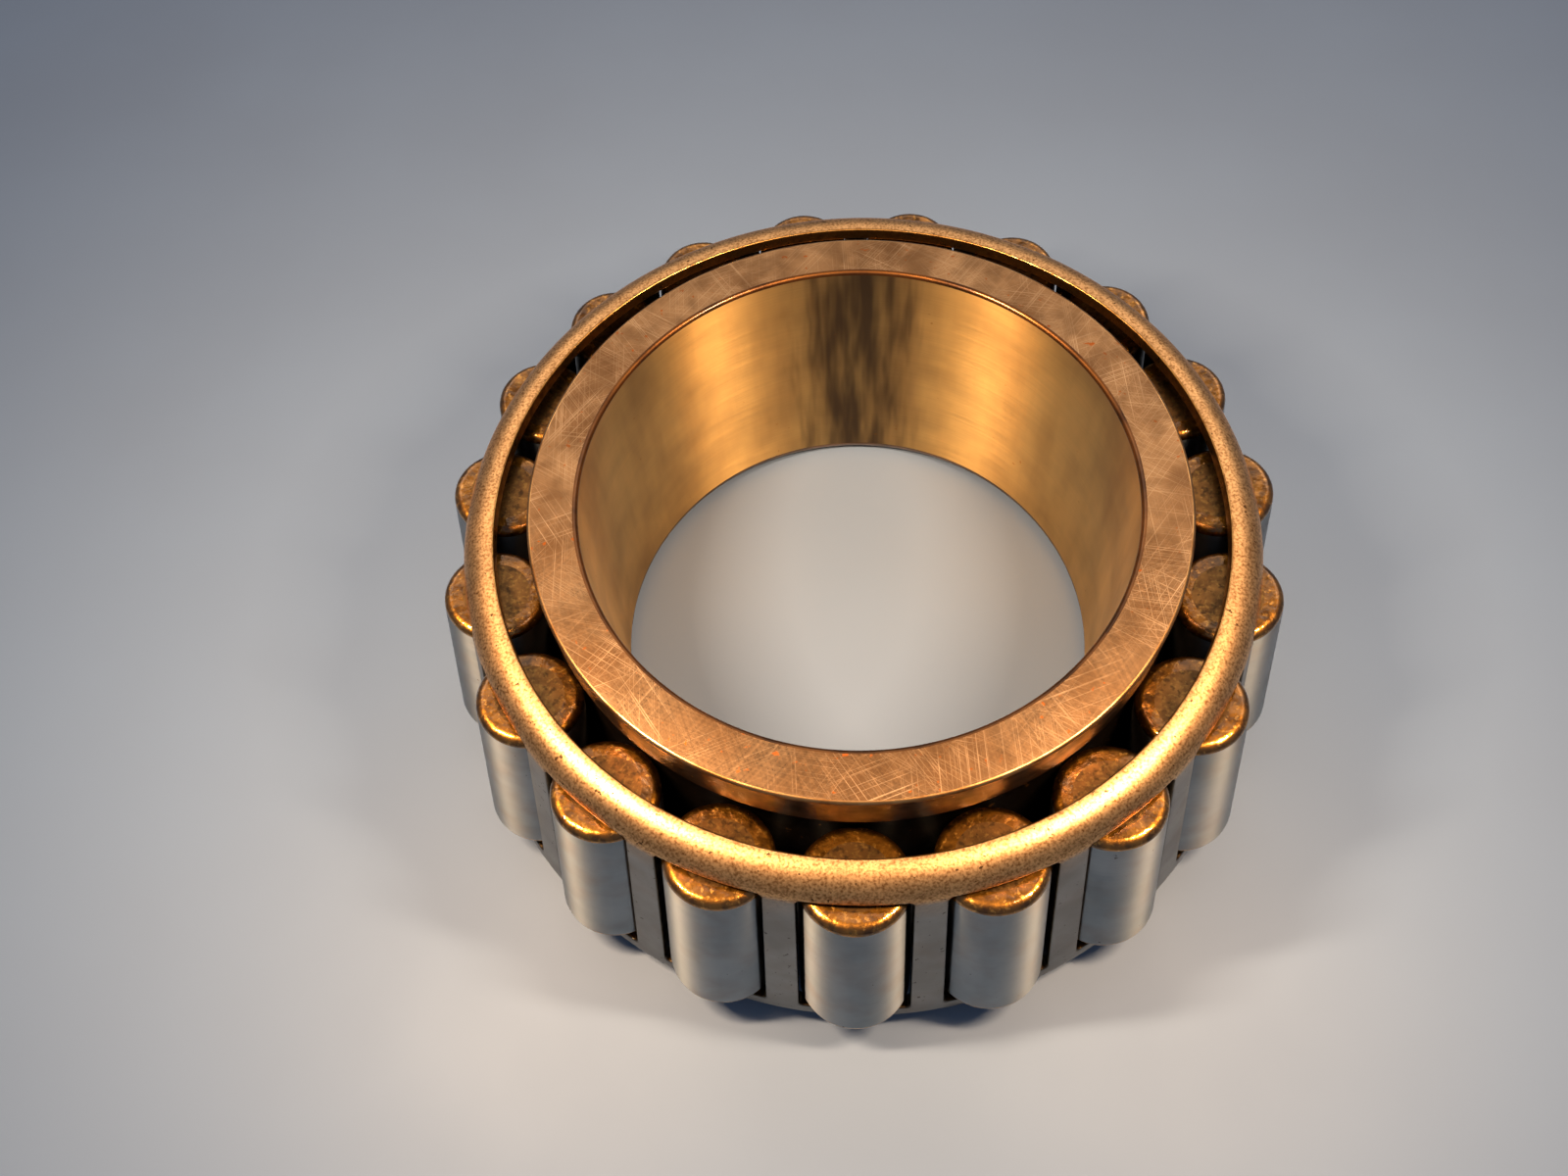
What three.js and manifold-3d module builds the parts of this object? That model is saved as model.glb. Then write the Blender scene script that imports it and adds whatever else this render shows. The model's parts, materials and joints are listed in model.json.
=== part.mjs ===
// Inner assembly of a single-row tapered roller bearing: an inner ring with two ribs, a pressed-steel
// cage and a row of tapered rollers. The bearing's axis is +Z and the ring stands on its large end.
// Lengths are in millimetres. Profiles are drawn as [radius, height] pairs in a plane through the axis.

import * as THREE from 'three';
import { mergeVertices } from 'three/addons/utils/BufferGeometryUtils.js';
import Module from 'manifold-3d';

const wasm = await Module();
wasm.setup();

// Driving dimensions of the inner ring.
const BORE_RADIUS = 38.1;
const RING_WIDTH = 46.67;
const RACEWAY_WALL = 11.23; // from the bore to the raceway, at the large rib
const BACK_CORNER = 2.6; // rounded corner between the bore and the back face
const FRONT_CORNER = 0.65; // rounded corner between the bore and the front face
const LARGE_RIB_WIDTH = 5.05; // at the raceway
const LARGE_RIB_HEIGHT = 3.4; // above the raceway
const SMALL_RIB_WIDTH = 7.3;
const SMALL_RIB_HEIGHT = 1.15; // above the end of the raceway
const RIB_EDGE = 0.5; // rounded outer edges of both ribs
const UNDERCUT_DEPTH = 0.45; // grinding reliefs at both ends of the raceway
const UNDERCUT_WIDTH = 1.6;

// Driving dimensions of the rollers. Their radius is what leaves ROLLER_SPACE between neighbours.
const ROLLER_COUNT = 19;
const ROLLER_SPACE = 3.15; // between neighbours at their large ends
const ROLLER_TILT = THREE.MathUtils.degToRad(10.5); // of a roller's axis from the bearing's axis
const ROLLER_CORNER = 1.2;

// Driving dimensions of the cage.
const CAGE_SHEET = 2.0;
const CAGE_OFFSET = 2.6; // from the rollers' axes to the sheet's inner face, at the large end
const CAGE_FLARE = THREE.MathUtils.degToRad(0.7); // how much more than the rollers the sheet leans
const CAGE_BEND = 4.4; // outer radius of the bend into the flange
const FLANGE_RISE = 4.5; // flange top above the centres of the rollers' small ends
const FLANGE_FLAT = 0.8; // flat ring inside the bend
const RIM_WIDTH = 2.25; // from the pockets to the cage's lower edge, along the sheet
const POCKET_CORNER = 0.8;

// Clearances.
const RACEWAY_GAP = 0.3; // rollers to raceway
const RIB_GAP = 0.3; // rollers' large ends to the large rib
const SMALL_END_PLAY = 2.0; // rollers' small ends to the small rib
const POCKET_SIDE_GAP = 0.35; // rollers to the pockets' sides
const POCKET_LARGE_GAP = 1.0; // rollers' large ends to the pockets
const POCKET_SMALL_GAP = 0.8; // rollers' small ends to the pockets

// Fineness of the round surfaces.
const RING_SIDES = 4 * ROLLER_COUNT;
const CAGE_SIDES = 5 * ROLLER_COUNT;
const ROLLER_SIDES = 20;
const CORNER_STEPS = 2;
const POCKET_CORNER_STEPS = 1;
const BEND_STEPS = 4;

// Every cone of the bearing has its apex at one point on the axis, so the rollers roll without sliding.
const cosTilt = Math.cos(ROLLER_TILT);
const sinTilt = Math.sin(ROLLER_TILT);
const pitchSine = Math.sin(Math.PI / ROLLER_COUNT);
const rollerRadius = ((BORE_RADIUS + RACEWAY_WALL + RACEWAY_GAP * cosTilt) * pitchSine
  - ROLLER_SPACE / 2) / (1 - cosTilt * pitchSine);
const pitchRadius = (rollerRadius + ROLLER_SPACE / 2) / pitchSine; // of the large ends' centres
const largeEndHeight = LARGE_RIB_WIDTH + RIB_GAP * cosTilt + (rollerRadius + RACEWAY_GAP) * sinTilt;
const apexDistance = pitchRadius / sinTilt; // from a large end's centre, along the roller's axis
const taper = Math.atan(rollerRadius / apexDistance);
const smallRibFace = RING_WIDTH - SMALL_RIB_WIDTH;
const rollerLength = (smallRibFace - SMALL_END_PLAY - largeEndHeight + rollerRadius * sinTilt)
  / (cosTilt + rollerRadius * sinTilt / apexDistance);
const rollerRadiusAt = (along) => rollerRadius * (1 - along / apexDistance);

// A point in the axial plane, from its place in a roller's frame: along the roller's axis from its
// large end, and outwards from that axis.
const fromRoller = (along, out) => [
  pitchRadius - along * sinTilt + out * cosTilt,
  largeEndHeight + along * cosTilt + out * sinTilt,
];

// Points of an arc about [cx, cy], between two angles in degrees.
function arc(cx, cy, radius, from, to, steps) {
  const points = [];
  for (let i = 0; i <= steps; i += 1) {
    const angle = THREE.MathUtils.degToRad(from + (to - from) * i / steps);
    points.push([cx + radius * Math.cos(angle), cy + radius * Math.sin(angle)]);
  }
  return points;
}

// Turns a profile about Z. A closed profile runs anticlockwise, and one that starts and ends on the
// axis runs upwards.
function turned(profile, sides) {
  const points = profile.map(([radius, height]) => new THREE.Vector2(radius, height));
  const geometry = new THREE.LatheGeometry(points, sides);
  return geometry.rotateX(Math.PI / 2);
}

// Inner ring: bore, front face, small rib, raceway between two grinding reliefs, large rib, back face.
function innerRingGeometry() {
  const racewayLean = Math.tan(ROLLER_TILT - taper);
  const [footRadius, footHeight] = fromRoller(0, -rollerRadius - RACEWAY_GAP / Math.cos(taper));
  const raceway = (height) => footRadius - (height - footHeight) * racewayLean;
  const smallRibRadius = raceway(smallRibFace) + SMALL_RIB_HEIGHT;
  const largeRibRadius = footRadius + LARGE_RIB_HEIGHT;
  const ribFaceHeight = (radius) => LARGE_RIB_WIDTH + (radius - footRadius) * Math.tan(ROLLER_TILT);
  const largeRibTop = ribFaceHeight(largeRibRadius);
  const undercut = (height) => [raceway(height) - UNDERCUT_DEPTH, height];
  const smallReliefEnd = smallRibFace - SMALL_END_PLAY;
  const largeReliefEnd = footHeight + UNDERCUT_WIDTH;
  const profile = [
    ...arc(BORE_RADIUS + BACK_CORNER, BACK_CORNER, BACK_CORNER, 180, 270, CORNER_STEPS + 1),
    ...arc(largeRibRadius - RIB_EDGE, RIB_EDGE, RIB_EDGE, 270, 360, CORNER_STEPS),
    ...arc(largeRibRadius - RIB_EDGE, largeRibTop - RIB_EDGE, RIB_EDGE, 0, 90, CORNER_STEPS),
    undercut(ribFaceHeight(footRadius)),
    undercut(largeReliefEnd - UNDERCUT_DEPTH),
    [raceway(largeReliefEnd), largeReliefEnd],
    [raceway(smallReliefEnd), smallReliefEnd],
    undercut(smallReliefEnd + UNDERCUT_DEPTH),
    undercut(smallRibFace),
    ...arc(smallRibRadius - RIB_EDGE, smallRibFace + RIB_EDGE, RIB_EDGE, 270, 360, CORNER_STEPS),
    ...arc(smallRibRadius - RIB_EDGE, RING_WIDTH - RIB_EDGE, RIB_EDGE, 0, 90, CORNER_STEPS),
    ...arc(BORE_RADIUS + FRONT_CORNER, RING_WIDTH - FRONT_CORNER, FRONT_CORNER, 90, 180, CORNER_STEPS),
  ];
  profile.push(profile[0]);
  return turned(profile, RING_SIDES);
}

// Tapered roller along +Z, with its large end at the origin.
function rollerGeometry() {
  const lean = THREE.MathUtils.radToDeg(taper);
  const largeCorner = rollerRadius - ROLLER_CORNER;
  const smallCorner = rollerRadiusAt(rollerLength) - ROLLER_CORNER;
  return turned([
    [0, 0],
    ...arc(largeCorner, ROLLER_CORNER, ROLLER_CORNER, 270, 360 + lean, CORNER_STEPS),
    ...arc(smallCorner, rollerLength - ROLLER_CORNER, ROLLER_CORNER, lean, 90, CORNER_STEPS),
    [0, rollerLength],
  ], ROLLER_SIDES);
}

// Places what is made in a roller's frame (X outwards, Z along the roller) at the first roller.
const rollerFrame = new THREE.Matrix4()
  .makeTranslation(pitchRadius, 0, largeEndHeight)
  .multiply(new THREE.Matrix4().makeRotationY(-ROLLER_TILT));

// Distance from a roller's axis to the sheet's inner face.
const cageOffsetAt = (along) => CAGE_OFFSET - along * Math.tan(CAGE_FLARE);

// Half width of a pocket: the roller's half chord at the sheet's inner face, and a clearance.
const pocketHalfWidth = (along) => Math.sqrt(rollerRadiusAt(along) ** 2 - cageOffsetAt(along) ** 2)
  + POCKET_SIDE_GAP;

// A tapered window with rounded corners, as a solid that runs outwards from the roller's axis.
function pocketGeometry() {
  const low = -POCKET_LARGE_GAP;
  const high = rollerLength + POCKET_SMALL_GAP;
  const lowHalf = pocketHalfWidth(low);
  const highHalf = pocketHalfWidth(high);
  const outline = new THREE.Shape([
    ...arc(-lowHalf + POCKET_CORNER, low + POCKET_CORNER, POCKET_CORNER, 180, 270, POCKET_CORNER_STEPS),
    ...arc(lowHalf - POCKET_CORNER, low + POCKET_CORNER, POCKET_CORNER, 270, 360, POCKET_CORNER_STEPS),
    ...arc(highHalf - POCKET_CORNER, high - POCKET_CORNER, POCKET_CORNER, 0, 90, POCKET_CORNER_STEPS),
    ...arc(-highHalf + POCKET_CORNER, high - POCKET_CORNER, POCKET_CORNER, 90, 180, POCKET_CORNER_STEPS),
  ].map(([across, along]) => new THREE.Vector2(across, along)));
  const reach = 2 * (CAGE_OFFSET + CAGE_SHEET);
  const geometry = new THREE.ExtrudeGeometry(outline, { depth: reach, bevelEnabled: false });
  const toRollerFrame = new THREE.Matrix4().makeBasis(
    new THREE.Vector3(0, 1, 0),
    new THREE.Vector3(0, 0, 1),
    new THREE.Vector3(1, 0, 0),
  );
  return geometry.applyMatrix4(toRollerFrame).applyMatrix4(rollerFrame);
}

// Cage sheet before its pockets are cut: a cone with a flange bent inwards over the small ends.
function cageShellGeometry() {
  const lean = ROLLER_TILT + CAGE_FLARE;
  const leanDegrees = THREE.MathUtils.radToDeg(lean);
  const [, smallEndHeight] = fromRoller(rollerLength, 0);
  const flangeTop = smallEndHeight + FLANGE_RISE;
  const bendHeight = flangeTop - CAGE_BEND;
  const sheetRadius = (height, depth) => pitchRadius
    + (CAGE_OFFSET + CAGE_SHEET - depth - (height - largeEndHeight) * Math.sin(lean)) / Math.cos(lean);
  const bendRadius = sheetRadius(bendHeight, CAGE_BEND);
  const [rimRadius, rimHeight] = fromRoller(-POCKET_LARGE_GAP, CAGE_OFFSET + CAGE_SHEET);
  const rimOuter = [rimRadius + RIM_WIDTH * Math.sin(lean), rimHeight - RIM_WIDTH * Math.cos(lean)];
  const rimInner = [rimOuter[0] - CAGE_SHEET * Math.cos(lean), rimOuter[1] - CAGE_SHEET * Math.sin(lean)];
  const flangeEdge = bendRadius - FLANGE_FLAT;
  const profile = [
    rimInner,
    rimOuter,
    ...arc(bendRadius, bendHeight, CAGE_BEND, leanDegrees, 90, BEND_STEPS),
    [flangeEdge, flangeTop],
    [flangeEdge, flangeTop - CAGE_SHEET],
    ...arc(bendRadius, bendHeight, CAGE_BEND - CAGE_SHEET, 90, leanDegrees, BEND_STEPS),
    rimInner,
  ];
  return turned(profile, CAGE_SIDES);
}

// Solid for joining and cutting, from a closed geometry.
function toManifold(geometry) {
  geometry.deleteAttribute('normal');
  geometry.deleteAttribute('uv');
  const merged = mergeVertices(geometry);
  return new wasm.Manifold(new wasm.Mesh({
    numProp: 3,
    vertProperties: new Float32Array(merged.attributes.position.array),
    triVerts: new Uint32Array(merged.index.array),
  }));
}

function fromManifold(solid) {
  const { vertProperties, triVerts } = solid.getMesh();
  const geometry = new THREE.BufferGeometry();
  geometry.setAttribute('position', new THREE.BufferAttribute(vertProperties, 3));
  geometry.setIndex(new THREE.BufferAttribute(triVerts, 1));
  geometry.computeVertexNormals();
  return geometry;
}

// Angle of a roller about the bearing's axis. The first one is at -Y, and the rest follow anticlockwise.
const rollerAngle = (index) => -Math.PI / 2 + 2 * Math.PI * index / ROLLER_COUNT;

function cageGeometry() {
  let cage = toManifold(cageShellGeometry());
  for (let i = 0; i < ROLLER_COUNT; i += 1) {
    cage = cage.subtract(toManifold(pocketGeometry().rotateZ(rollerAngle(i))));
  }
  return fromManifold(cage);
}

function part(name, geometry, material) {
  const mesh = new THREE.Mesh(geometry, material);
  mesh.name = name;
  return mesh;
}

const ringSteel = () => new THREE.MeshStandardMaterial({ color: 0xa39482, roughness: 0.35, metalness: 1 });
const cageSteel = () => new THREE.MeshStandardMaterial({ color: 0xb79f7e, roughness: 0.45, metalness: 1 });
const rollerSteel = () => new THREE.MeshStandardMaterial({ color: 0x8c9398, roughness: 0.25, metalness: 1 });

const group = new THREE.Group();
group.add(part('inner_ring', innerRingGeometry(), ringSteel()));
group.add(part('cage', cageGeometry(), cageSteel()));
for (let i = 0; i < ROLLER_COUNT; i += 1) {
  const station = new THREE.Group();
  station.rotation.z = rollerAngle(i);
  const roller = part(`roller_${String(i + 1).padStart(2, '0')}`, rollerGeometry(), rollerSteel());
  roller.applyMatrix4(rollerFrame);
  station.add(roller);
  group.add(station);
}

export default group;
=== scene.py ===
"""Inner assembly of a tapered roller bearing: ground inner ring, pressed cage and tapered rollers.

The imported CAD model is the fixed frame. Every CAD node is replaced by a finer piece that rides on
the same body: the ring and the rollers are spun from their profiles, and the cage is made as one
pitch of flat sheet, punched, bent into shape and repeated about the bearing's axis. Lengths are in
metres, and the bearing's axis is +Z.
"""

import json
import logging
import math
from dataclasses import dataclass, field
from enum import Enum, IntEnum
from typing import Any, Iterable, Mapping

import bmesh
import bpy
from mathutils import Matrix, Vector

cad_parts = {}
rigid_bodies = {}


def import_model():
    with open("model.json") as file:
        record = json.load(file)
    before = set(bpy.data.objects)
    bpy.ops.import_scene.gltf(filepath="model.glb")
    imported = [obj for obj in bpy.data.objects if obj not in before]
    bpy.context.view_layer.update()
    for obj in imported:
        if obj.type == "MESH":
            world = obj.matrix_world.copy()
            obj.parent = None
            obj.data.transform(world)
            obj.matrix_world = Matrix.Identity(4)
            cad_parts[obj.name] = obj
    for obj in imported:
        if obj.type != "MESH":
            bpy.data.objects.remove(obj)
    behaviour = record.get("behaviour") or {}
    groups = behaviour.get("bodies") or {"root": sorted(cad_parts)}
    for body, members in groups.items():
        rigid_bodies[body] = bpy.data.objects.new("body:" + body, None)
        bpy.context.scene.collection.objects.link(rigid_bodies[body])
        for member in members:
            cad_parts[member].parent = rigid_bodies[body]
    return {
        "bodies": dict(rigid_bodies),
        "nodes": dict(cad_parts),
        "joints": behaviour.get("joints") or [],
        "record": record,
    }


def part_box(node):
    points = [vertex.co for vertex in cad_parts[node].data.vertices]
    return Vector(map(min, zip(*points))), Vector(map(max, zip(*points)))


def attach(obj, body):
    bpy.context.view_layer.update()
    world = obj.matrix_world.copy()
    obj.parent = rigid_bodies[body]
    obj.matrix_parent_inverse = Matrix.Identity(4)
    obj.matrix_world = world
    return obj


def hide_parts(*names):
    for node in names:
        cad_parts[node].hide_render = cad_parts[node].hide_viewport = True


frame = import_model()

LOG = logging.getLogger("bearing")
MM = 0.001
FULL_TURN = 2.0 * math.pi
MERGE_DISTANCE = 0.001 * MM
AXIS = Vector((0.0, 0.0, 1.0))
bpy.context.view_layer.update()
# How widely noise spreads about a half, and how its tails fall off.
NOISE_SPREAD = 0.54
NOISE_TAIL = 0.14
# The part of noise's range over which each pattern goes from none to full.
STAIN_RANGE = {"From Min": 0.36, "From Max": 0.66}
ROUGHNESS_RANGE = {"From Min": 0.3, "From Max": 0.7}
LINE_RANGE = {"From Min": 0.25, "From Max": 0.75}
SPECKLE_RANGE = {"From Min": 0.3, "From Max": 0.6}
SCRATCH_RANGE = {"From Min": 0.62, "From Max": 0.8}
PATCH_RANGE = {"From Min": 0.42, "From Max": 0.62}
# Sockets of a colour Mix, whose names repeat.
MIX_SHARE, MIX_FIRST, MIX_SECOND, MIX_RESULT = 0, 6, 7, 2
# A face is level if its normal's Z is above the first, and upright if it is below the second.
LEVEL = 0.995
UPRIGHT = 0.05

# Attributes that the rollers and the cage carry for their materials.
ROLLER_PLACE = "roller_place"
ROLLER_AROUND = "roller_around"
BEND_SHARE = "bend_share"

Colour = tuple[float, float, float, float]


class Grain(Enum):
    """How a surface was worked, which decides where its fine lines run."""

    NONE = "no lines"
    RING_AROUND = "lines run round the bearing's axis"
    ROLLER_AROUND = "lines run round the roller's own axis"
    CRISS_CROSS = "straight lines in several directions"


class RingZone(IntEnum):
    """Material slots of the inner ring."""

    FACE = 0
    BORE = 1
    BORE_CORNER = 2
    RIB_EDGE = 3
    RIB_SIDE = 4
    RACEWAY = 5


class CageZone(IntEnum):
    """Material slots of the cage."""

    SHEET = 0
    POCKET_WALL = 1
    SHEARED_EDGE = 2
    INSIDE = 3


class RollerZone(IntEnum):
    """Material slots of a roller."""

    SIDE = 0
    CORNER = 1
    END = 2


def linear(hex_colour: str) -> Colour:
    """Turns an sRGB colour into linear light.

    Args:
        hex_colour: six hexadecimal digits.

    Returns:
        Red, green, blue and an alpha of 1.
    """
    channels = [int(hex_colour[i : i + 2], 16) / 255.0 for i in (0, 2, 4)]
    red, green, blue = (
        c / 12.92 if c <= 0.04045 else ((c + 0.055) / 1.055) ** 2.4 for c in channels
    )
    return red, green, blue, 1.0


def add_node(
    tree: bpy.types.NodeTree,
    kind: str,
    inputs: Mapping[int | str, Any] | None = None,
    **settings: Any,
) -> bpy.types.Node:
    """Adds a node with its settings, values and links.

    Args:
        tree: node tree that gets the node.
        kind: type of the node, without its "ShaderNode" prefix.
        inputs: a value or an output socket for each input, by name, or by number where
            names repeat.
        settings: the node's own properties.

    Returns:
        The new node.
    """
    node = tree.nodes.new("ShaderNode" + kind)
    for name, value in settings.items():
        setattr(node, name, value)
    for key, value in (inputs or {}).items():
        if isinstance(value, bpy.types.NodeSocket):
            tree.links.new(value, node.inputs[key])
        else:
            node.inputs[key].default_value = value
    return node


@dataclass
class Tone:
    """Colour and roughness of a surface, which each layer changes."""

    tree: bpy.types.NodeTree
    colour: bpy.types.NodeSocket
    roughness: bpy.types.NodeSocket

    def cover(
        self, share: bpy.types.NodeSocket, colour: bpy.types.NodeSocket | Colour, roughness: float
    ) -> None:
        """Lays another colour over the surface.

        Args:
            share: how much of it shows, from 0 to 1.
            colour: the colour, or a socket of it.
            roughness: what is added to the roughness where it shows.
        """
        layers = {MIX_SHARE: share, MIX_FIRST: self.colour, MIX_SECOND: colour}
        mixed = add_node(self.tree, "Mix", layers, data_type="RGBA")
        self.colour = mixed.outputs[MIX_RESULT]
        values = {0: share, 1: roughness, 2: self.roughness}
        added = add_node(self.tree, "Math", values, operation="MULTIPLY_ADD")
        self.roughness = added.outputs[0]

    def brighten(self, change: bpy.types.NodeSocket) -> None:
        """Brightens the surface, and roughens it by half as much.

        Args:
            change: how much brighter it becomes; darker below 0.
        """
        roughening = 0.5
        values = {0: change, 1: 1.0}
        value = add_node(self.tree, "Math", values, operation="ADD").outputs[0]
        inputs = {"Value": value, "Color": self.colour}
        self.colour = add_node(self.tree, "HueSaturation", inputs).outputs[0]
        values = {0: change, 1: roughening, 2: self.roughness}
        added = add_node(self.tree, "Math", values, operation="MULTIPLY_ADD")
        self.roughness = added.outputs[0]


@dataclass(frozen=True)
class Spots:
    """Soft-edged spots of another colour, such as rust, dirt or bright metal."""

    colour: str
    size: float  # millimetres from spot to spot
    share: float  # part of the surface that they cover, from 0 to 1
    edge: float = 0.05  # softness of their edges
    strength: float = 1.0
    roughness: float = 0.0  # added where they are

    @property
    def level(self) -> float:
        """Level that noise lies above over the spots' share of the surface."""
        clear = 1.0 - self.share
        return 0.5 + NOISE_SPREAD * (clear**NOISE_TAIL - self.share**NOISE_TAIL)


@dataclass(frozen=True)
class Finish:
    """Finish of one surface: a worked and used steel, or the floor's sheet."""

    name: str
    clean: str
    stained: str
    stain_size: float  # millimetres
    roughness: tuple[float, float]
    stain_stretch: tuple[float, float, float] = (1.0, 1.0, 1.0)
    spots: tuple[Spots, ...] = ()
    grain: Grain = Grain.NONE
    grain_spacing: float = 0.25  # millimetres
    grain_height: float = 0.0  # millimetres
    grain_tint: float = 0.0
    scratches: float = 0.0  # how strongly single scratches show, from 0 to 1
    scratch_colour: str = ""
    scratch_roughness: float = 0.12  # added where they are
    pit_size: float = 0.4  # millimetres
    pit_height: float = 0.0  # millimetres
    anisotropy: float = 0.0
    oil: float = 0.0
    oil_roughness: float = 0.15
    oil_tint: str = "FFF2DC"
    metallic: float = 1.0
    bend_colours: tuple[str, str] = ("", "")
    bend_roughness: float = 0.0
    # An upright dark smudge at the back of the bore: partly a stain, partly painted shade.
    stain_and_shade_colour: str = ""
    stain_and_shade_roughness: float = 0.03
    stain_and_shade_from: tuple[float, float] = (0.0, 0.0)  # where it starts and is full along Y, in mm

    def build(self) -> bpy.types.Material:
        """Makes the material.

        Returns:
            A material whose nodes give the finish.
        """
        material = bpy.data.materials.new(self.name)
        material.use_nodes = True
        tree = material.node_tree
        tree.nodes.clear()
        place = self._place(tree)
        tone = self._tone(tree, place)
        height = self._height(tree, place)
        shader = add_node(
            tree,
            "BsdfPrincipled",
            {
                "Base Color": tone.colour,
                "Roughness": tone.roughness,
                "Metallic": self.metallic,
                "Anisotropic": self.anisotropy,
                "Coat Weight": self.oil,
                "Coat Roughness": self.oil_roughness,
                "Coat Tint": linear(self.oil_tint),
            },
        )
        if height is not None:
            bump = add_node(tree, "Bump", {"Strength": 1.0, "Distance": 1.0, "Height": height})
            tree.links.new(bump.outputs["Normal"], shader.inputs["Normal"])
            tree.links.new(bump.outputs["Normal"], shader.inputs["Coat Normal"])
        if self.anisotropy:
            tree.links.new(self._lobe_direction(tree), shader.inputs["Tangent"])
        add_node(tree, "OutputMaterial", {"Surface": shader.outputs["BSDF"]})
        return material

    def _place(self, tree: bpy.types.NodeTree) -> bpy.types.NodeSocket:
        """Gives the point that patterns follow, in millimetres.

        Args:
            tree: node tree of the material.

        Returns:
            Socket of the scaled point.
        """
        if self.grain is Grain.ROLLER_AROUND:
            source = add_node(tree, "Attribute", attribute_name=ROLLER_PLACE).outputs["Vector"]
        else:
            source = add_node(tree, "TexCoord").outputs["Object"]
        return add_node(
            tree, "VectorMath", {0: source, "Scale": 1.0 / MM}, operation="SCALE"
        ).outputs[0]

    def _pattern(
        self,
        tree: bpy.types.NodeTree,
        place: bpy.types.NodeSocket,
        size: float,
        detail: float = 2.0,
        stretch: tuple[float, float, float] = (1.0, 1.0, 1.0),
        turn: float = 0.0,
        shift: float = 0.0,
    ) -> bpy.types.NodeSocket:
        """Adds a noise pattern of a real size.

        Args:
            tree: node tree of the material.
            place: point in millimetres.
            size: size of its features, in millimetres.
            detail: octaves of finer noise.
            stretch: how much longer the features are along each axis.
            turn: angle about Z, in radians.
            shift: offset that makes this pattern differ from the others.

        Returns:
            Socket of the noise, from 0 to 1.
        """
        scale = tuple(1.0 / (size * s) for s in stretch)
        turned = add_node(
            tree, "VectorRotate", {"Vector": place, "Angle": turn}, rotation_type="Z_AXIS"
        )
        mapped = add_node(
            tree,
            "Mapping",
            {"Vector": turned.outputs[0], "Scale": scale, "Location": (shift, -shift, shift)},
        )
        return add_node(
            tree, "TexNoise", {"Vector": mapped.outputs[0], "Scale": 1.0, "Detail": detail}
        ).outputs[0]

    def _worked_lines(
        self, tree: bpy.types.NodeTree, place: bpy.types.NodeSocket
    ) -> bpy.types.NodeSocket:
        """Gives the fine lines that the surface's working left.

        Args:
            tree: node tree of the material.
            place: point in millimetres.

        Returns:
            Socket of the pattern, from 0 to 1.
        """
        if self.grain is not Grain.CRISS_CROSS:
            around = (40.0, 40.0, 1.0)
            return self._pattern(tree, place, self.grain_spacing, stretch=around)
        straight = (90.0, 1.0, 1.0)
        turns = (0.35, 1.2, 2.3)
        total: Any = 0.0
        for turn in turns:
            lines = self._pattern(tree, place, self.grain_spacing, 1.0, straight, turn, turn)
            total = add_node(
                tree, "Math", {0: lines, 1: 1.0 / len(turns), 2: total}, operation="MULTIPLY_ADD"
            ).outputs[0]
        return total

    def _scratch_share(
        self, tree: bpy.types.NodeTree, place: bpy.types.NodeSocket
    ) -> bpy.types.NodeSocket:
        """Gives long single scratches in several directions, gathered in patches.

        They are drawn coarser than real ones, so that they show.

        Args:
            tree: node tree of the material.
            place: point in millimetres.

        Returns:
            Socket that is high in a scratch and 0 beside it.
        """
        spacing, stretch, patch_size = 0.13, (220.0, 1.0, 1.0), 12.0
        turns = (0.15, 0.55, 0.95, 1.5, 2.2, 2.75)
        strength = {"To Min": 0.0, "To Max": self.scratches}
        share: Any = 0.0
        for number, turn in enumerate(turns):
            lines = self._pattern(tree, place, spacing, 0.0, stretch, turn, 7.0 * number + 3.0)
            line = add_node(tree, "MapRange", {"Value": lines, **SCRATCH_RANGE, **strength})
            patches = self._pattern(tree, place, patch_size, 1.0, shift=11.0 * number)
            patch = add_node(tree, "MapRange", {"Value": patches, **PATCH_RANGE})
            both = add_node(
                tree, "Math", {0: line.outputs[0], 1: patch.outputs[0]}, operation="MULTIPLY"
            )
            share = add_node(
                tree, "Math", {0: share, 1: both.outputs[0]}, operation="MAXIMUM"
            ).outputs[0]
        return share

    def _stain_and_shade(
        self, tree: bpy.types.NodeTree, place: bpy.types.NodeSocket
    ) -> bpy.types.NodeSocket:
        """Gives an upright dark smudge at the back of a bore, with a ragged edge: partly a stain, and
        partly painted shade in place of the darker reflection there.

        Args:
            tree: node tree of the material.
            place: point in millimetres.

        Returns:
            Socket of its share.
        """
        rag_size, rag_stretch, raggedness = 2.5, (1.0, 1.0, 8.0), 4.0
        rags = self._pattern(tree, place, rag_size, stretch=rag_stretch, shift=4.0)
        back = add_node(tree, "SeparateXYZ", {0: place}).outputs["Y"]
        ragged = add_node(
            tree, "Math", {0: rags, 1: raggedness, 2: back}, operation="MULTIPLY_ADD"
        )
        start, full = (y + raggedness / 2.0 for y in self.stain_and_shade_from)
        return add_node(
            tree,
            "MapRange",
            {"Value": ragged.outputs[0], "From Min": start, "From Max": full},
            interpolation_type="SMOOTHSTEP",
        ).outputs[0]

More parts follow.
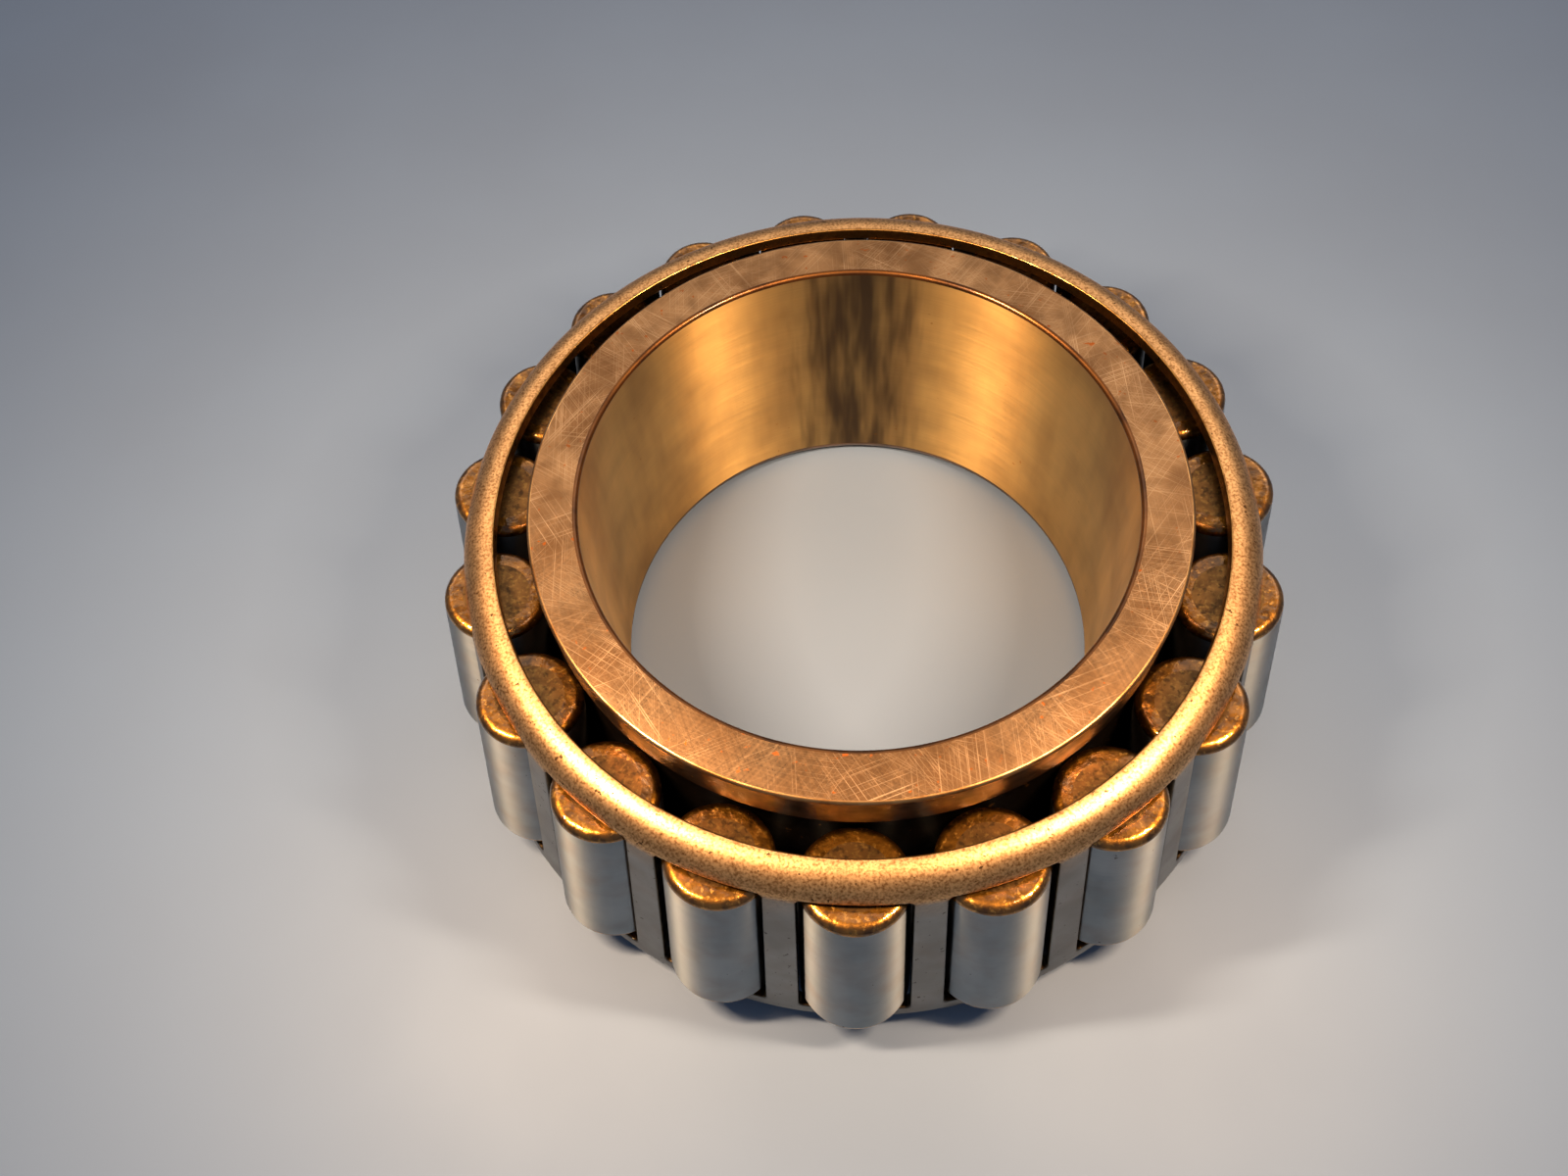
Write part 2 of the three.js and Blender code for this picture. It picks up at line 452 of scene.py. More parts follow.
    def _speckle(
        self, tree: bpy.types.NodeTree, place: bpy.types.NodeSocket
    ) -> bpy.types.NodeSocket:
        """Gives the two colours that sheet takes where it is stretched, finely speckled.

        The speckle is drawn coarser than the real one, so that it shows.

        Args:
            tree: node tree of the material.
            place: point in millimetres.

        Returns:
            Socket of the colour.
        """
        speckle_size = 0.35
        fine = self._pattern(tree, place, speckle_size, 3.0, shift=9.0)
        speckle = add_node(tree, "MapRange", {"Value": fine, **SPECKLE_RANGE}).outputs[0]
        dark, bright = (linear(colour) for colour in self.bend_colours)
        colours = {MIX_SHARE: speckle, MIX_FIRST: dark, MIX_SECOND: bright}
        return add_node(tree, "Mix", colours, data_type="RGBA").outputs[MIX_RESULT]

    def _tone(self, tree: bpy.types.NodeTree, place: bpy.types.NodeSocket) -> Tone:
        """Builds the colour and the roughness, layer by layer.

        Args:
            tree: node tree of the material.
            place: point in millimetres.

        Returns:
            Both sockets.
        """
        broad = self._pattern(tree, place, self.stain_size, 4.0, self.stain_stretch, shift=5.0)
        stain = add_node(tree, "MapRange", {"Value": broad, **STAIN_RANGE}).outputs[0]
        colours = {MIX_FIRST: linear(self.clean), MIX_SECOND: linear(self.stained)}
        mixed = add_node(tree, "Mix", {MIX_SHARE: stain, **colours}, data_type="RGBA")
        low, high = self.roughness
        ends = {"To Min": low, "To Max": high}
        roughness = add_node(tree, "MapRange", {"Value": broad, **ROUGHNESS_RANGE, **ends})
        tone = Tone(tree, mixed.outputs[MIX_RESULT], roughness.outputs[0])
        if self.grain is not Grain.NONE and self.grain_tint:
            lines = self._worked_lines(tree, place)
            ends = {"To Min": -self.grain_tint, "To Max": self.grain_tint}
            change = add_node(tree, "MapRange", {"Value": lines, **LINE_RANGE, **ends})
            tone.brighten(change.outputs[0])
        if all(self.bend_colours):
            bent = add_node(tree, "Attribute", attribute_name=BEND_SHARE).outputs["Fac"]
            tone.cover(bent, self._speckle(tree, place), self.bend_roughness)
        # Dark smudge at the back of the bore: partly a stain, partly painted shade.
        if self.stain_and_shade_colour:
            stain_and_shade = self._stain_and_shade(tree, place)
            tone.cover(stain_and_shade, linear(self.stain_and_shade_colour), self.stain_and_shade_roughness)
        if self.scratches:
            scratch = self._scratch_share(tree, place)
            tone.cover(scratch, linear(self.scratch_colour), self.scratch_roughness)
        for number, spots in enumerate(self.spots):
            noise = self._pattern(tree, place, spots.size, shift=17.0 + 13.0 * number)
            low, high = spots.level - spots.edge / 2.0, spots.level + spots.edge / 2.0
            edges = {"From Min": low, "From Max": high, "To Min": 0.0, "To Max": spots.strength}
            share = add_node(tree, "MapRange", {"Value": noise, **edges})
            tone.cover(share.outputs[0], linear(spots.colour), spots.roughness)
        return tone

    def _height(
        self, tree: bpy.types.NodeTree, place: bpy.types.NodeSocket
    ) -> bpy.types.NodeSocket | None:
        """Builds the height of the surface's relief, in metres.

        Args:
            tree: node tree of the material.
            place: point in millimetres.

        Returns:
            Socket of the height, or nothing for a smooth surface.
        """
        layers = []
        if self.pit_height:
            pits = self._pattern(tree, place, self.pit_size, 3.0, shift=2.0)
            layers.append((pits, self.pit_height))
        if self.grain is not Grain.NONE and self.grain_height:
            layers.append((self._worked_lines(tree, place), self.grain_height))
        height: Any = 0.0
        for pattern, depth in layers:
            values = {0: pattern, 1: depth * MM, 2: height}
            height = add_node(tree, "Math", values, operation="MULTIPLY_ADD").outputs[0]
        return height if layers else None

    def _lobe_direction(self, tree: bpy.types.NodeTree) -> bpy.types.NodeSocket:
        """Gives the direction in which highlights spread: across the working lines.

        Args:
            tree: node tree of the material.

        Returns:
            Socket of the direction, in world space.
        """
        if self.grain is Grain.ROLLER_AROUND:
            around = add_node(tree, "Attribute", attribute_name=ROLLER_AROUND).outputs["Vector"]
        else:
            place = add_node(tree, "TexCoord").outputs["Object"]
            around = add_node(
                tree, "VectorMath", {0: tuple(AXIS), 1: place}, operation="CROSS_PRODUCT"
            ).outputs[0]
        world = add_node(
            tree,
            "VectorTransform",
            {"Vector": around},
            vector_type="VECTOR",
            convert_from="OBJECT",
            convert_to="WORLD",
        ).outputs[0]
        normal = add_node(tree, "NewGeometry").outputs["Normal"]
        across = add_node(tree, "VectorMath", {0: normal, 1: world}, operation="CROSS_PRODUCT")
        return add_node(
            tree, "VectorMath", {0: across.outputs[0]}, operation="NORMALIZE"
        ).outputs[0]


# Old oil has crept over all of it, so the steels lean to brown, and the recessed surfaces are coloured
# dark. Real pits and specks are finer than these; they are drawn coarse enough to show.
RING_FACE = Finish(
    # Hardened steel ground on a flat table: fine straight lines that cross, and handling scratches.
    name="surface_ground_bearing_steel",
    clean="A37C56",
    stained="7E5B3C",
    stain_size=11.0,
    roughness=(0.28, 0.36),
    spots=(
        Spots("A24E12", 1.1, 0.025, 0.04, 0.8, 0.15),
        Spots("5E422A", 4.5, 0.35, 0.2, 0.5, 0.05),
    ),
    grain=Grain.CRISS_CROSS,
    # Real grinding lines are ten times finer; they are drawn coarse enough to show.
    grain_spacing=0.3,
    grain_height=0.0008,
    grain_tint=0.12,
    scratches=0.5,
    scratch_colour="E3BF96",
    pit_size=0.5,
    pit_height=0.001,
)
RING_BORE = Finish(
    # Internally ground steel: lines run round the bore and draw each light into an upright streak.
    name="bore_ground_bearing_steel",
    clean="D6AC68",
    stained="B69058",
    stain_size=9.0,
    roughness=(0.31, 0.35),
    stain_stretch=(1.0, 1.0, 6.0),
    spots=(
        Spots("4A3828", 9.0, 0.2, 0.4, 0.35, 0.02),
        Spots("9A5A1E", 1.6, 0.008, 0.05, 0.6, 0.1),
    ),
    grain=Grain.RING_AROUND,
    # Real grinding lines are far finer; they are drawn coarse enough to show.
    grain_spacing=0.25,
    grain_height=0.0003,
    grain_tint=0.05,
    pit_size=0.5,
    pit_height=0.001,
    anisotropy=1.0,
    # The smudge is partly a stain and partly painted shade, standing in for the darker reflection
    # between the bore's two streaks.
    stain_and_shade_colour="5E4A34",
    stain_and_shade_from=(36.6, 38.6),
)
BORE_CORNER = Finish(
    # The turned corner keeps its dark heat-treatment skin, thinly oiled.
    name="heat_darkened_turned_steel",
    clean="7E5228",
    stained="3F2814",
    stain_size=6.0,
    roughness=(0.3, 0.45),
    pit_size=0.3,
    pit_height=0.003,
    oil=0.5,
)
RIB_EDGE = Finish(
    # The rib's rounded edge is rubbed bright by handling.
    name="rubbed_bright_steel_edge",
    clean="C79A66",
    stained="7A542F",
    stain_size=4.0,
    roughness=(0.26, 0.4),
    pit_size=0.3,
    pit_height=0.003,
    oil=0.2,
)
RIB_SIDE = Finish(
    # Turned rib under a film of old brown oil, patchy, with a few glinting flecks.
    name="turned_rib_under_old_oil",
    clean="80634C",
    stained="3C2E23",
    stain_size=5.0,
    roughness=(0.36, 0.5),
    spots=(
        Spots("D9A047", 1.0, 0.012, 0.03, 0.9),
        Spots("1E1711", 3.0, 0.25, 0.2, 0.7, 0.05),
    ),
    grain=Grain.RING_AROUND,
    # Real turning marks are finer; they are drawn coarse enough to show.
    grain_spacing=0.25,
    grain_height=0.001,
    grain_tint=0.12,
    pit_size=0.35,
    pit_height=0.004,
    oil=0.2,
    oil_roughness=0.25,
)
RACEWAY = Finish(
    # Raceway, reliefs and large rib: ground steel dark with the oil that gathers behind the rollers.
    name="ground_raceway_under_dark_oil",
    clean="3A2E24",
    stained="1A1510",
    stain_size=4.0,
    roughness=(0.4, 0.55),
    spots=(Spots("A8783A", 1.4, 0.02, 0.05, 0.8),),
    grain=Grain.RING_AROUND,
    # Real grinding lines are far finer; they are drawn coarse enough to show.
    grain_spacing=0.25,
    grain_height=0.0006,
    grain_tint=0.1,
    pit_size=0.35,
    pit_height=0.002,
    oil=0.15,
    oil_roughness=0.35,
)
CAGE_SHEET = Finish(
    # Deep-drawn sheet, tumbled after pressing: satin, and finely speckled where it was stretched.
    name="pressed_tumbled_sheet_steel",
    clean="7C7A78",
    stained="6E6A66",
    stain_size=7.0,
    roughness=(0.3, 0.36),
    spots=(
        Spots("2C2017", 0.9, 0.03, 0.03, 0.9, 0.2),
        Spots("6A4A30", 4.5, 0.15, 0.3, 0.25, 0.04),
    ),
    pit_size=0.4,
    pit_height=0.003,
    bend_colours=("8E6238", "DEAE78"),
    bend_roughness=0.06,
)
POCKET_WALL = Finish(
    # Punched wall of a pocket: burnished near the top, torn and oily below.
    name="punched_oily_sheet_wall",
    clean="54432C",
    stained="282016",
    stain_size=1.8,
    roughness=(0.35, 0.5),
    pit_size=0.25,
    pit_height=0.012,
    oil=0.5,
)
SHEARED_EDGE = Finish(
    # Rounded edge that the punch and the tumbling left, bright through brown oil.
    name="tumbled_sheared_steel_edge",
    clean="C4985A",
    stained="74522C",
    stain_size=1.5,
    roughness=(0.25, 0.4),
    pit_size=0.2,
    pit_height=0.006,
    oil=0.3,
)
CAGE_INSIDE = Finish(
    # Inner side of the cage, under an oil film: coloured dark brown, with wet glints.
    name="sheet_steel_under_old_oil",
    clean="56402A",
    stained="271E15",
    stain_size=3.0,
    roughness=(0.3, 0.48),
    spots=(Spots("B98A45", 1.0, 0.08, 0.06, 0.7),),
    pit_size=0.3,
    pit_height=0.01,
    oil=0.4,
)
ROLLER_SIDE = Finish(
    # Through-feed ground and honed steel: smooth, lines round the roller, small dark specks. Its
    # slight blue tint is a painted reflection of the blue floor.
    name="honed_roller_steel",
    clean="92979C",
    stained="838A8F",
    stain_size=8.0,
    roughness=(0.3, 0.34),
    spots=(
        Spots("3A2E26", 0.9, 0.008, 0.04, 0.8, 0.2),
        Spots("7A6048", 5.0, 0.15, 0.3, 0.3, 0.03),
    ),
    grain=Grain.ROLLER_AROUND,
    # Real honing lines are far finer; they are drawn coarse enough to show.
    grain_spacing=0.3,
    grain_height=0.0002,
    grain_tint=0.04,
    pit_size=0.5,
    pit_height=0.001,
    anisotropy=1.0,
)
ROLLER_CORNER = Finish(
    # Tumbled corner, wet with amber oil that gathers in beads and throws sharp glints.
    name="tumbled_corner_under_amber_oil",
    clean="AC8240",
    stained="5C441E",
    stain_size=2.2,
    roughness=(0.26, 0.42),
    spots=(
        Spots("E6BE78", 0.7, 0.12, 0.1, 0.6),
        Spots("35240F", 1.6, 0.25, 0.14, 0.6),
    ),
    grain=Grain.ROLLER_AROUND,
    pit_size=1.6,
    pit_height=0.14,
    oil=1.0,
    oil_roughness=0.07,
    oil_tint="FFE4B0",
)
ROLLER_END = Finish(
    # Turned end face under dried oil: matt, mottled dark brown.
    name="turned_end_under_dried_oil",
    clean="946A38",
    stained="684A28",
    stain_size=1.8,
    roughness=(0.28, 0.4),
    spots=(
        Spots("AE8848", 0.5, 0.2, 0.12, 0.5),
        Spots("2A2015", 0.8, 0.18, 0.12, 0.6),
        Spots("1E170F", 3.4, 0.2, 0.25, 0.5),
    ),
    grain=Grain.ROLLER_AROUND,
    pit_size=0.4,
    pit_height=0.006,
    oil=0.25,
    oil_roughness=0.3,
)
STUDIO_SHEET = Finish(
    # A matt blue-grey sheet, barely uneven, that the warm lamps turn pale and neutral.
    name="pale_studio_sheet",
    clean="6E82A0",
    stained="6C7F9C",
    stain_size=60.0,
    roughness=(0.5, 0.56),
    metallic=0.0,
)


@dataclass(frozen=True)
class Station:
    """One roller's place: its node, and its axes at the centre of its large end."""

    node: str
    place: Matrix


@dataclass(frozen=True)
class Frame:
    """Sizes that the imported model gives."""

    bore_radius: float
    ring_width: float
    large_rib_radius: float
    small_rib_radius: float
    cage_low: float
    cage_high: float
    cage_radius: float
    flange_edge_radius: float
    tilt: float
    pitch_radius: float
    large_end_height: float
    roller_radius: float
    roller_length: float
    stations: tuple[Station, ...]

    @classmethod
    def measure(cls, packed: dict[str, Any]) -> "Frame":
        """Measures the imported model.


        Returns:
            The sizes and the rollers' places.
        """
        ring = [v.co for v in packed["nodes"]["inner_ring"].data.vertices]
        cage = [v.co for v in packed["nodes"]["cage"].data.vertices]
        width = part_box("inner_ring")[1].z
        cage_low, cage_high = (corner.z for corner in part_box("cage"))
        front_land = 1.5 * MM
        small_rib = [p for p in ring if p.z > width - front_land]
        spins = [j for j in packed["joints"] if j["name"].startswith("roller_")]
        stations = tuple(cls._station(j) for j in spins)
        first = stations[0]
        tilt = math.acos(first.place.col[2].z)
        pitch_radius = first.place.translation.xy.length
        apex = pitch_radius / math.sin(tilt)
        to_local = first.place.inverted()
        roller = [to_local @ v.co for v in packed["nodes"][first.node].data.vertices]
        return cls(
            bore_radius=min(p.xy.length for p in ring),
            ring_width=width,
            large_rib_radius=max(p.xy.length for p in ring),
            small_rib_radius=max(p.xy.length for p in small_rib),
            cage_low=cage_low,
            cage_high=cage_high,
            cage_radius=max(p.xy.length for p in cage),
            flange_edge_radius=min(p.xy.length for p in cage),
            tilt=tilt,
            pitch_radius=pitch_radius,
            large_end_height=first.place.translation.z,
            roller_radius=max(p.xy.length / (1.0 - p.z / apex) for p in roller),
            roller_length=max(p.z for p in roller),
            stations=stations,
        )

    @staticmethod
    def _station(joint: dict[str, Any]) -> Station:
        """Gives the place of the roller that a joint turns.

        Args:
            joint: a roller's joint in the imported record.

        Returns:
            Its station: X points outwards and Z along the roller.
        """
        along = Vector(joint["axis"]).normalized()
        centre = Vector(joint["pos_m"])
        outward = Vector((centre.x, centre.y, 0.0)).normalized()
        outward = (outward - outward.dot(along) * along).normalized()
        across = along.cross(outward)
        place = Matrix((outward, across, along)).transposed().to_4x4()
        place.translation = centre
        return Station(joint["child"], place)

    @property
    def apex(self) -> float:
        """Distance from a roller's large end to the apex of its cone."""
        return self.pitch_radius / math.sin(self.tilt)

    @property
    def taper(self) -> float:
        """Half of a roller's cone angle."""
        return math.atan(self.roller_radius / self.apex)

    def roller_radius_at(self, along: float) -> float:
        """Radius of a roller's cone at a distance from its large end."""
        return self.roller_radius * (1.0 - along / self.apex)

    def from_roller(self, along: float, out: float) -> tuple[float, float]:
        """Gives a point of the axial plane from its place in a roller's frame.

        Args:
            along: distance along the roller's axis from its large end.
            out: distance outwards from that axis.

        Returns:
            Its radius and its height.
        """
        cos_tilt, sin_tilt = math.cos(self.tilt), math.sin(self.tilt)
        radius = self.pitch_radius - along * sin_tilt + out * cos_tilt
        height = self.large_end_height + along * cos_tilt + out * sin_tilt
        return radius, height


@dataclass(frozen=True)
class Corner:
    """A corner of a turned profile, and the size of its rounding."""

    radius: float
    height: float
    rounding: float = 0.0
    steps: int = 3


def spun(corners: Iterable[Corner], steps: int, closed: bool) -> bmesh.types.BMesh:
    """Turns a rounded profile about Z.

    Args:
        corners: corners of the profile, in order.
        steps: number of sides of the full turn.
        closed: whether the profile closes on itself, or else starts and ends on the axis.

    Returns:
        A closed mesh with its faces pointing out.
    """
    mesh = bmesh.new()
    listed = list(corners)
    points = [mesh.verts.new((c.radius, 0.0, c.height)) for c in listed]
    mesh.faces.new(points)
    for point, corner in zip(points, listed):
        if corner.rounding:
            bmesh.ops.bevel(
                mesh,
                geom=[point],
                offset=corner.rounding,
                offset_type="OFFSET",
                affect="VERTICES",
                segments=corner.steps,
                profile=0.5,
                material=-1,
            )
    bmesh.ops.delete(mesh, geom=mesh.faces[:], context="FACES_ONLY")
    if not closed:
        on_axis = [e for e in mesh.edges if all(v.co.x < MERGE_DISTANCE for v in e.verts)]
        bmesh.ops.delete(mesh, geom=on_axis, context="EDGES")
    bmesh.ops.spin(
        mesh,
        geom=mesh.verts[:] + mesh.edges[:],
        cent=(0.0, 0.0, 0.0),
        axis=AXIS,
        angle=FULL_TURN,
        steps=steps,
        use_merge=True,
    )
    bmesh.ops.remove_doubles(mesh, verts=mesh.verts, dist=MERGE_DISTANCE)
    bmesh.ops.recalc_face_normals(mesh, faces=mesh.faces)
    return mesh


def finished_piece(
    name: str,
    mesh: bmesh.types.BMesh,
    finishes: Iterable[bpy.types.Material],
    node: str,
) -> bpy.types.Object:
    """Makes an object of a mesh and ties it to the CAD node that it stands for.

    Args:
        name: name of the piece.
        mesh: its mesh, which is freed.
        finishes: its materials, in the order of its zones.
        node: the CAD node and body that it replaces and rides on.

    Returns:
        The object.
    """
    data = bpy.data.meshes.new(name)
    for face in mesh.faces:
        face.smooth = True
    mesh.to_mesh(data)
    mesh.free()
    for finish in finishes:
        data.materials.append(finish)
    piece = bpy.data.objects.new(name, data)
    bpy.context.scene.collection.objects.link(piece)
    shading = piece.modifiers.new("even_shading", "WEIGHTED_NORMAL")
    shading.keep_sharp = True
    shading.weight = 100
    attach(piece, node)
    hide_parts(node)
    LOG.info("%s: %d faces", name, len(data.polygons))
    return piece


@dataclass
class InnerRing:
    """Hardened and ground inner ring with two ribs."""

    frame: Frame
    raceway_gap: float = 0.3 * MM
    rib_gap: float = 0.3 * MM
    large_rib_height: float = 3.4 * MM
    small_rib_width: float = 7.3 * MM
    small_end_play: float = 2.0 * MM
    bore_back_rounding: float = 2.6 * MM
    bore_front_rounding: float = 0.65 * MM
    edge_rounding: float = 0.5 * MM
    undercut_depth: float = 0.45 * MM
    undercut_width: float = 1.6 * MM
    sides: int = 304

    def raceway(self, height: float) -> float:
        """Gives the radius of the raceway's cone.

        Args:
            height: height above the back face.

        Returns:
            The radius there.
        """
        size = self.frame
        out = -size.roller_radius - self.raceway_gap / math.cos(size.taper)
        foot_radius, foot_height = size.from_roller(0.0, out)
        return foot_radius - (height - foot_height) * math.tan(size.tilt - size.taper)

    def profile(self) -> list[Corner]:
        """Gives the ring's section.

        Returns:
            Its corners, anticlockwise from the bottom of the bore.
        """
        size = self.frame
        foot_height = size.from_roller(0.0, -size.roller_radius - self.raceway_gap)[1]
        rib_foot = foot_height - self.rib_gap
        rib_top = rib_foot + self.large_rib_height * math.tan(size.tilt)
        small_rib = size.ring_width - self.small_rib_width
        small_relief = small_rib - self.small_end_play
        large_relief = foot_height + self.undercut_width
        depth = self.undercut_depth
        ease = 0.3 * MM
        return [
            Corner(size.bore_radius, 0.0, self.bore_back_rounding, steps=6),
            Corner(size.large_rib_radius, 0.0, self.edge_rounding),
            Corner(size.large_rib_radius, rib_top, self.edge_rounding),
            Corner(self.raceway(rib_foot) - depth, rib_foot, ease, steps=2),
            Corner(self.raceway(large_relief) - depth, large_relief - depth, ease, steps=2),
            Corner(self.raceway(large_relief), large_relief),
            Corner(self.raceway(small_relief), small_relief),
            Corner(self.raceway(small_relief) - depth, small_relief + depth, ease, steps=2),
            Corner(self.raceway(small_rib) - depth, small_rib, ease, steps=2),
            Corner(size.small_rib_radius, small_rib, self.edge_rounding),
            Corner(size.small_rib_radius, size.ring_width, self.edge_rounding, steps=4),
            Corner(size.bore_radius, size.ring_width, self.bore_front_rounding, steps=4),
        ]

    def zone(self, face: bmesh.types.BMFace) -> RingZone:
        """Tells which finish a face has.

        Args:
            face: a face of the ring.

        Returns:
            Its zone.
        """
        size = self.frame
        centre, normal = face.calc_center_median(), face.normal
        radius = centre.xy.length
        slack = 0.02 * MM
        between = self.edge_rounding < centre.z < size.ring_width - self.edge_rounding
        if abs(normal.z) > LEVEL and not between:
            return RingZone.FACE
        if radius < size.bore_radius + slack and abs(normal.z) < UPRIGHT:
            return RingZone.BORE
        if radius < size.bore_radius + self.bore_back_rounding:
            return RingZone.BORE_CORNER
        if centre.z > size.ring_width - self.edge_rounding:
            return RingZone.RIB_EDGE
        if centre.z > size.ring_width - self.small_rib_width:
            return RingZone.RIB_SIDE
        return RingZone.RACEWAY

    def build(self) -> bpy.types.Object:
        """Makes and dresses the ring.

        Returns:
            The finished piece.
        """
        mesh = spun(self.profile(), self.sides, closed=True)
        for face in mesh.faces:
            face.material_index = self.zone(face)
        finishes = (RING_FACE, RING_BORE, BORE_CORNER, RIB_EDGE, RIB_SIDE, RACEWAY)
        materials = [finish.build() for finish in finishes]
        return finished_piece("ground_inner_ring", mesh, materials, "inner_ring")


@dataclass
class Rollers:
    """Row of tapered rollers, loose in the cage's pockets."""

    frame: Frame
    rounding: float = 1.2 * MM
    oily_border: float = 1.3 * MM
    sides: int = 96
    rows: int = 6
    rounding_steps: int = 6
    seed_step: float = 37.0 * MM

    def profile(self) -> list[Corner]:
        """Gives a roller's half section.

        Returns:
            Its corners, from the centre of the large end to that of the small one.
        """
        size = self.frame
        length = size.roller_length
        large_radius, small_radius = size.roller_radius, size.roller_radius_at(length)
        border = self.rounding + self.oily_border
        return [
            Corner(0.0, 0.0),
            Corner(large_radius - border, 0.0),
            Corner(large_radius, 0.0, self.rounding, self.rounding_steps),
            Corner(small_radius, length, self.rounding, self.rounding_steps),
            Corner(small_radius - border, length),
            Corner(0.0, length),
        ]

    def zone(self, face: bmesh.types.BMFace) -> RollerZone:
        """Tells which finish a face has, from its place in the roller's own frame.

        Args:
            face: a face of the roller.

        Returns:
            Its zone.
        """
        length = self.frame.roller_length
        centre = face.calc_center_median()
        inner = self.frame.roller_radius_at(centre.z) - self.rounding - self.oily_border
        if abs(face.normal.z) > LEVEL and centre.xy.length < inner:
            return RollerZone.END
        if self.rounding < centre.z < length - self.rounding:
            return RollerZone.SIDE
        return RollerZone.CORNER

    def shape(self) -> bmesh.types.BMesh:
        """Makes one roller in its own frame, with its zones.

        Returns:
            Its mesh.
        """
        mesh = spun(self.profile(), self.sides, closed=False)
        for face in mesh.faces:
            face.material_index = self.zone(face)
        length = self.frame.roller_length
        for row in range(1, self.rows):
            height = self.rounding + (length - 2.0 * self.rounding) * row / self.rows
            bmesh.ops.bisect_plane(
                mesh,
                geom=mesh.verts[:] + mesh.edges[:] + mesh.faces[:],
                plane_co=(0.0, 0.0, height),
                plane_no=AXIS,
            )
        return mesh

    def build(self) -> list[bpy.types.Object]:
        """Makes and dresses every roller.

        Returns:
            The finished pieces.
        """
        materials = [finish.build() for finish in (ROLLER_SIDE, ROLLER_CORNER, ROLLER_END)]
        pieces = []
        for number, station in enumerate(self.frame.stations):
            mesh = self.shape()
            place_layer = mesh.verts.layers.float_vector.new(ROLLER_PLACE)
            around_layer = mesh.verts.layers.float_vector.new(ROLLER_AROUND)
            turn = station.place.to_3x3()
            seed = Vector((1.0, 1.0, 1.0)) * self.seed_step * number
            for vertex in mesh.verts:
                vertex[place_layer] = vertex.co + seed
                vertex[around_layer] = turn @ AXIS.cross(vertex.co).normalized()
            bmesh.ops.transform(mesh, matrix=station.place, verts=mesh.verts)
            name = "ground_" + station.node
            pieces.append(finished_piece(name, mesh, materials, station.node))
        return pieces


